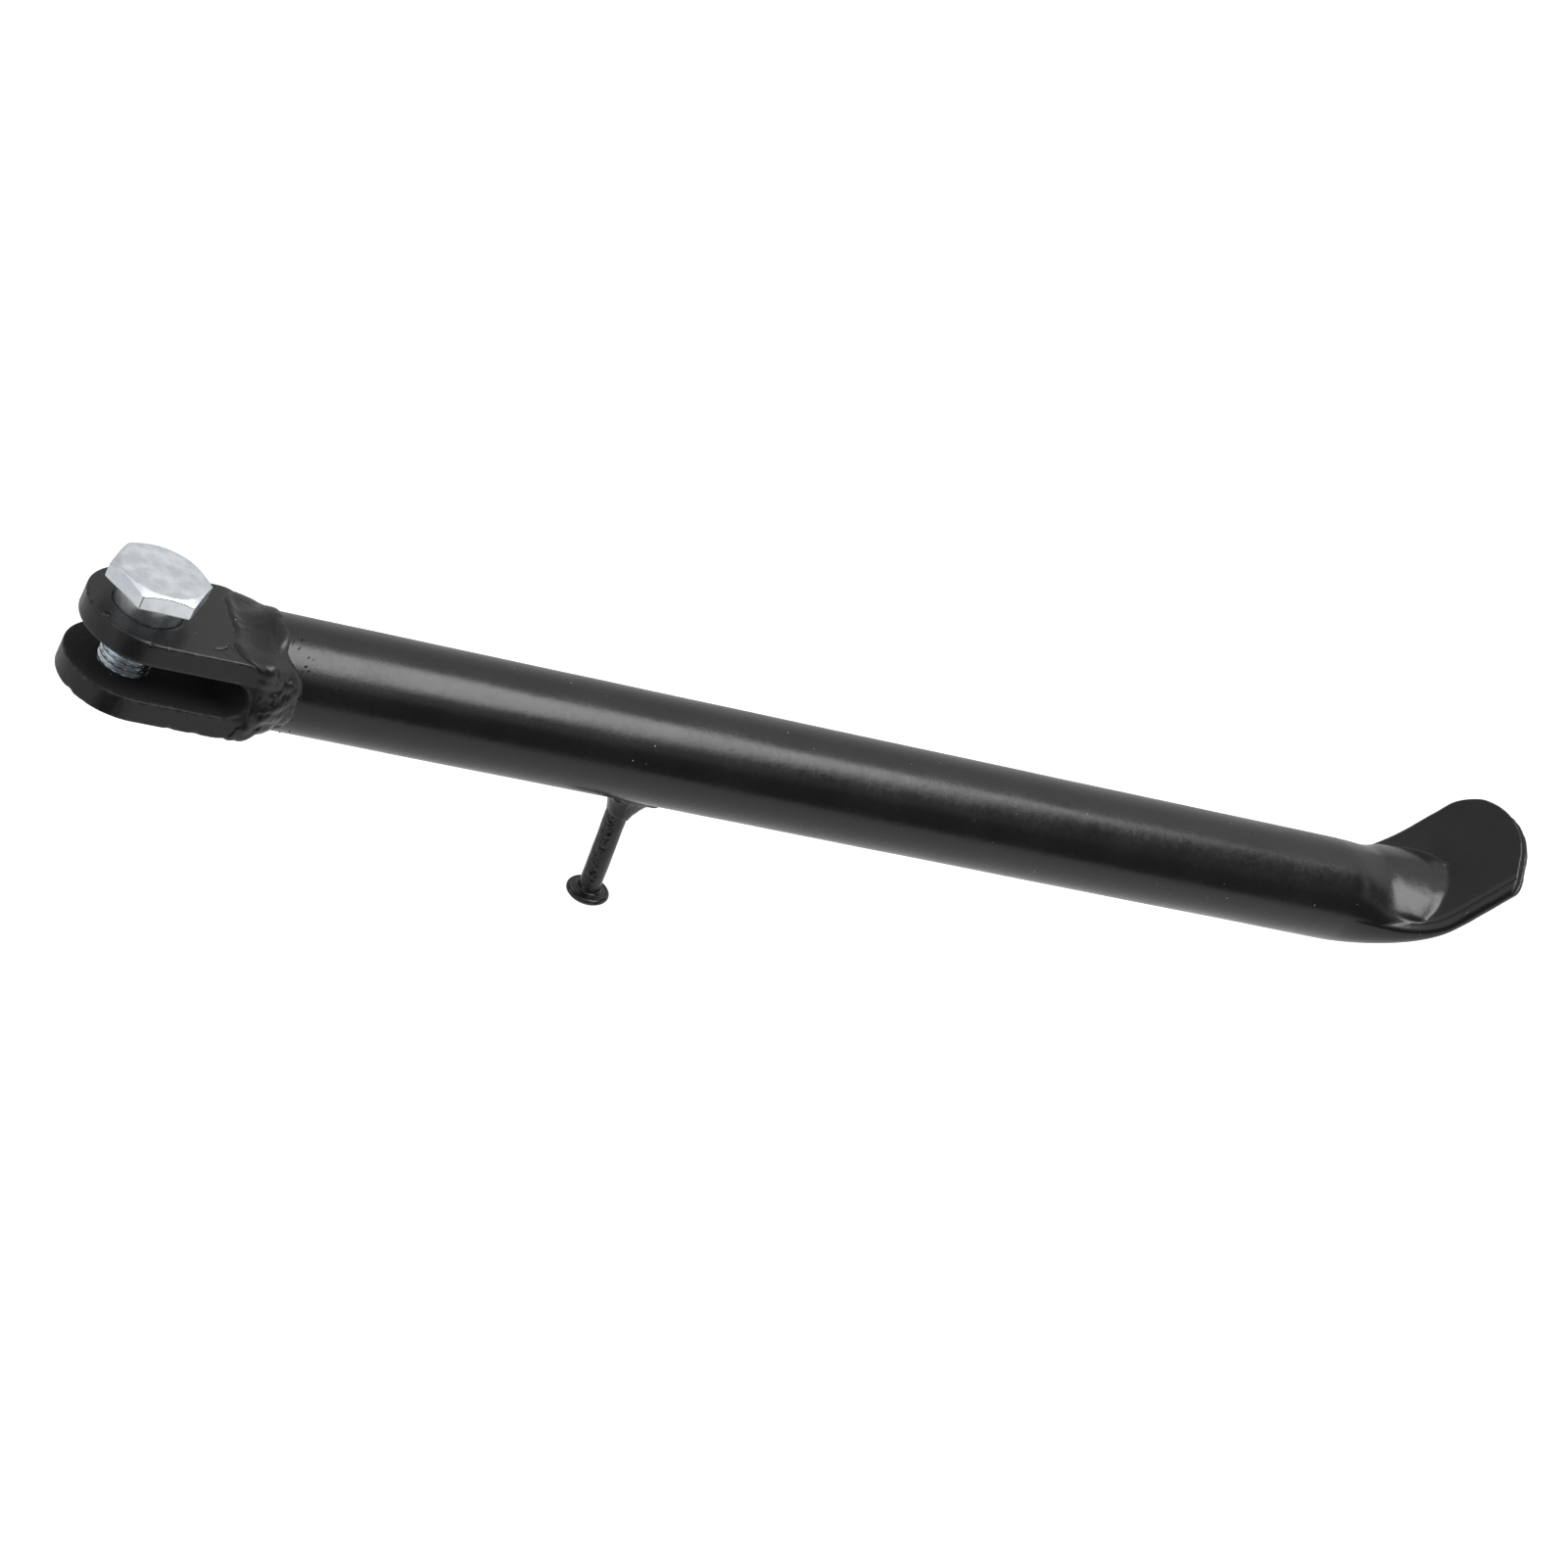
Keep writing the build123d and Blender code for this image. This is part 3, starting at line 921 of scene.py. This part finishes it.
def bright_zinc(name):
    """Zinc plate with a bluish passivate: faint scratches, milky patches, and the thread painted lighter
    and bluer as a painted reflection.
    """
    n = Nodes(name)
    patches = n.noise(3.4, 4, 0.6)
    milk = n.noise(0.9, 3, 0.6)
    scratch_a = n.noise(0.10, 3, 0.6, stretch=(60, 1, 60))
    scratch_b = n.noise(0.09, 2, 0.6, stretch=(1, 1, 55))
    colour = n.blend(n.remap(patches, 0.3, 0.7), (0.70, 0.75, 0.80, 1), (0.86, 0.885, 0.90, 1))
    colour = n.blend(n.remap(milk, 0.55, 0.8, 0.0, 0.25), colour, (0.60, 0.64, 0.68, 1))
    # painted reflection: the thread is painted lighter and bluer than the plate around it, to stand in for
    # the bright light it reflects
    thread = n.attribute("thread")
    colour = n.blend(n.math("MULTIPLY", thread, 0.8), colour, (0.84, 0.93, 0.98, 1))
    worn = n.math("MULTIPLY", n.attribute("wear"), n.remap(n.noise(0.8, 3, 0.6), 0.4, 0.62), clamp=True)
    colour = n.blend(n.math("MULTIPLY", worn, 0.35), colour, (0.42, 0.42, 0.42, 1))
    dirt = n.specks(1.5, 0.07, 0.10)
    colour = n.blend(n.math("MULTIPLY", dirt, 0.6), colour, (0.25, 0.24, 0.22, 1))
    gloss = n.remap(patches, 0.3, 0.7, 0.26, 0.40)
    gloss = n.math("ADD", gloss, n.remap(scratch_a, 0.4, 0.7, -0.03, 0.06), clamp=True)
    normal = n.bump(scratch_a, 0.006)
    normal = n.bump(scratch_b, 0.005, 1.0, normal)
    normal = n.bump(patches, 0.02, 1.0, normal)
    shader = n.add(
        "ShaderNodeBsdfPrincipled",
        {"Base Color": colour, "Metallic": 1.0, "Roughness": gloss, "Normal": normal},
    )
    n.put(n.output.inputs["Surface"], shader.outputs[0])
    return n.material


# ---------------------------------------------------------------- floor, light, camera
FLOOR_Z = -0.30  # metres, far enough down that no shadow shows
FLOOR_NEAR = -0.85
FLOOR_GLOW = 0.55
# brightness of the surround, by direction
ROOM = 1.0
DARK_SIDE = 0.10
BACK_WALL = 0.50
BACK_WALL_RISE = 0.17
CAMERA_EXTRA = 2.0
KEY_RADIANCE = 6.8
CAMERA_ANGLES = (-33.904, 28.281, -29.269)  # azimuth, elevation and roll, degrees
CAMERA_AT = (-0.245261, -0.569543, 0.367841)
CAMERA_LENS = 91.288


def floor_material():
    """Pale and plain. Its underside lets the view through, so a look from below isn't blocked."""
    n = Nodes("floor_pale")
    colour = n.blend(n.noise(40.0, 3, 0.5), grey(0.66), grey(0.69))
    matt = n.add("ShaderNodeBsdfDiffuse", {"Color": colour})
    # the photo's background is blown out to white, but what the paint reflects of it is not
    seen = n.math("MULTIPLY", n.add("ShaderNodeLightPath").outputs["Is Camera Ray"], FLOOR_GLOW)
    glow = n.add("ShaderNodeEmission", {"Strength": seen})
    top = n.add("ShaderNodeAddShader", {0: matt.outputs[0], 1: glow.outputs[0]})
    under = n.add("ShaderNodeBsdfTransparent")
    facing = n.add("ShaderNodeNewGeometry").outputs["Backfacing"]
    mixed = n.add("ShaderNodeMixShader", {0: facing, 1: top.outputs[0], 2: under.outputs[0]})
    n.put(n.output.inputs["Surface"], mixed.outputs[0])
    return n.material


def make_floor():
    left, right, back, notch = -3.0, 3.5, 4.0, -0.16
    # the corner under the camera is left out, so the paint reflects the dark side of the room there
    corners = [
        (left, notch),
        (-0.10, notch),
        (0.02, FLOOR_NEAR),
        (right, FLOOR_NEAR),
        (right, back),
        (left, back),
    ]
    mesh = bpy.data.meshes.new("floor")
    mesh.from_pydata([(x, y, FLOOR_Z) for x, y in corners], [], [tuple(range(len(corners)))])
    mesh.materials.append(floor_material())
    floor = bpy.data.objects.new("floor", mesh)
    bpy.context.scene.collection.objects.link(floor)


def make_world():
    """White room light, darker behind the camera, above the foot's end and on the back wall."""
    world = bpy.data.worlds.new("studio")
    bpy.context.scene.world = world
    world.use_nodes = True
    tree = world.node_tree
    tree.nodes.clear()

    def math_node(operation, a, b=0.0, clamp=False):
        node = tree.nodes.new("ShaderNodeMath")
        node.operation = operation
        node.use_clamp = clamp
        for socket, value in zip(node.inputs, (a, b)):
            if isinstance(value, bpy.types.NodeSocket):
                tree.links.new(value, socket)
            else:
                socket.default_value = value
        return node.outputs[0]

    def band(value, low, high, soft):
        rise = math_node("DIVIDE", math_node("SUBTRACT", value, low), soft, True)
        fall = math_node("DIVIDE", math_node("SUBTRACT", high, value), soft, True)
        return math_node("MULTIPLY", rise, fall)

    direction = tree.nodes.new("ShaderNodeTexCoord").outputs["Generated"]
    parts = tree.nodes.new("ShaderNodeSeparateXYZ")
    tree.links.new(direction, parts.inputs[0])
    dark = band(parts.outputs[2], -0.34, 0.52, 0.10)
    dark = math_node("MULTIPLY", dark, band(parts.outputs[1], -2.0, -0.35, 0.30))
    # below the camera the studio is dark too
    low_dark = band(parts.outputs[2], -0.95, 0.5, 0.15)
    low_dark = math_node("MULTIPLY", low_dark, band(parts.outputs[1], -2.0, -0.35, 0.15))
    low_dark = math_node("MULTIPLY", low_dark, band(parts.outputs[0], -0.70, 0.10, 0.15))
    dark = math_node("MAXIMUM", dark, low_dark)
    # past the foot's end of the key light the ceiling is dark
    ceiling = band(parts.outputs[2], 0.35, 0.97, 0.12)
    ceiling = math_node("MULTIPLY", ceiling, band(parts.outputs[1], -2.0, 0.05, 0.20))
    ceiling = math_node("MULTIPLY", ceiling, band(parts.outputs[0], 0.38, 2.0, 0.16))
    dark = math_node("MAXIMUM", dark, ceiling)
    strength = math_node("SUBTRACT", ROOM, math_node("MULTIPLY", dark, ROOM - DARK_SIDE))
    back = band(parts.outputs[1], 0.25, 2.0, 0.35)
    back = math_node("MULTIPLY", back, band(parts.outputs[2], -2.0, 1.0, 0.35))
    # the back wall is brighter on the foot's side
    right = band(parts.outputs[0], -0.45, 2.0, 0.80)
    wall = math_node("ADD", BACK_WALL, math_node("MULTIPLY", right, BACK_WALL_RISE))
    loss = math_node("SUBTRACT", ROOM, wall)
    strength = math_node("SUBTRACT", strength, math_node("MULTIPLY", back, loss))
    camera_ray = tree.nodes.new("ShaderNodeLightPath").outputs["Is Camera Ray"]
    extra = math_node("MULTIPLY", camera_ray, CAMERA_EXTRA)
    background = tree.nodes.new("ShaderNodeBackground")
    background.inputs["Color"].default_value = (1.0, 1.0, 1.0, 1.0)
    tree.links.new(math_node("ADD", strength, extra), background.inputs["Strength"])
    out = tree.nodes.new("ShaderNodeOutputWorld")
    tree.links.new(background.outputs[0], out.inputs["Surface"])


def softbox(name, place_at, turn, size, radiance):
    """A rectangular area light facing down, turned about Z; size in metres along its own x and y."""
    data = bpy.data.lights.new(name, "AREA")
    data.shape = "RECTANGLE"
    data.size, data.size_y = size
    data.energy = radiance * math.pi * size[0] * size[1]
    lamp = bpy.data.objects.new(name, data)
    bpy.context.scene.collection.objects.link(lamp)
    lamp.location = place_at
    lamp.rotation_euler = (0, 0, math.radians(turn))
    lamp.visible_camera = False


def make_lights():
    softbox("key_box", (0.46, -0.35, 1.0), turn=-18, size=(0.66, 0.86), radiance=KEY_RADIANCE)


def make_camera():
    """The photo's view: 34 degrees round to the fork's side, 28 above, tilted so the pivot axis leans."""
    azimuth, elevation, roll = (math.radians(v) for v in CAMERA_ANGLES)
    back = Vector(
        (
            math.sin(azimuth) * math.cos(elevation),
            -math.cos(azimuth) * math.cos(elevation),
            math.sin(elevation),
        )
    )
    level = Vector((math.cos(azimuth), math.sin(azimuth), 0))
    upright = back.cross(level)
    up = upright * math.cos(roll) + level * math.sin(roll)
    right = up.cross(back)
    data = bpy.data.cameras.new("camera")
    data.sensor_width = 36.0
    data.lens = CAMERA_LENS
    data.clip_start, data.clip_end = 0.05, 20.0
    camera = bpy.data.objects.new("camera", data)
    bpy.context.scene.collection.objects.link(camera)
    axes = Matrix((right, up, back)).transposed()
    camera.matrix_world = Matrix.Translation(CAMERA_AT) @ axes.to_4x4()
    bpy.context.scene.camera = camera


# ---------------------------------------------------------------- the scene
bpy.context.scene.view_settings.view_transform = "Standard"

leg_piece(black_paint("leg_enamel", rough=0.23, grain=0.011, peel=0.015, dust=1.2, edge=1.0))
fork_piece(
    black_paint("fork_enamel", rough=0.32, grain=0.006, peel=0.010, dust=1.3, edge=0.35, specular=0.37)
)
fork_weld_piece(black_paint("weld_enamel", rough=0.31, grain=0.006, peel=0.014, dust=0.8, edge=1.0))
stud_piece(black_paint("stud_enamel", rough=0.24, grain=0.004, peel=0.010, dust=0.6, edge=1.0))
stud_weld_piece(black_paint("stud_weld_enamel", rough=0.26, grain=0.006, peel=0.014, dust=0.6, edge=1.0))
bolt_piece(bright_zinc("zinc_plate"))

make_floor()
make_world()
make_lights()
make_camera()
